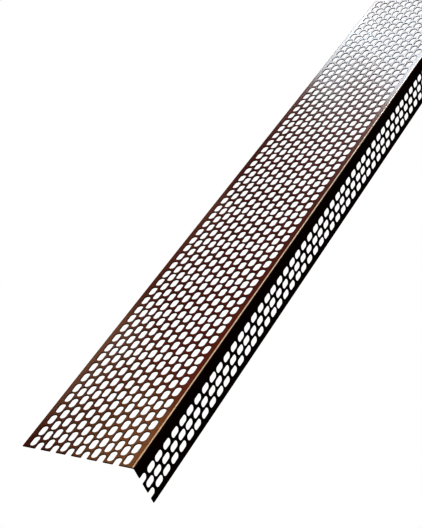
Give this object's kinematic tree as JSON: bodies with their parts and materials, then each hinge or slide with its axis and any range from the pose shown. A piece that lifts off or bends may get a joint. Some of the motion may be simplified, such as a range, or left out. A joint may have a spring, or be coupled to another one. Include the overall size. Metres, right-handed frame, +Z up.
{
  "type": "ventilation strip",
  "caption": "Perforated ventilation strip: thin coated sheet metal with staggered round-ended slots, folded once into a wide and a narrow flange.",
  "frame": {"origin": "middle of the rectangle that the strip covers on the surface it stands on, as a ridge on its two free edges", "axes": "+Z up, +Y along the strip away from its near end, +X from the free edge of the wide flange to the free edge of the narrow flange"},
  "size_m": [0.0984, 0.6, 0.0272],
  "materials": {
    "coated_sheet": "glossy dark brown coating"
  },
  "bodies": {
    "root": {"vent_strip": "coated_sheet"}
  },
  "joints": []
}
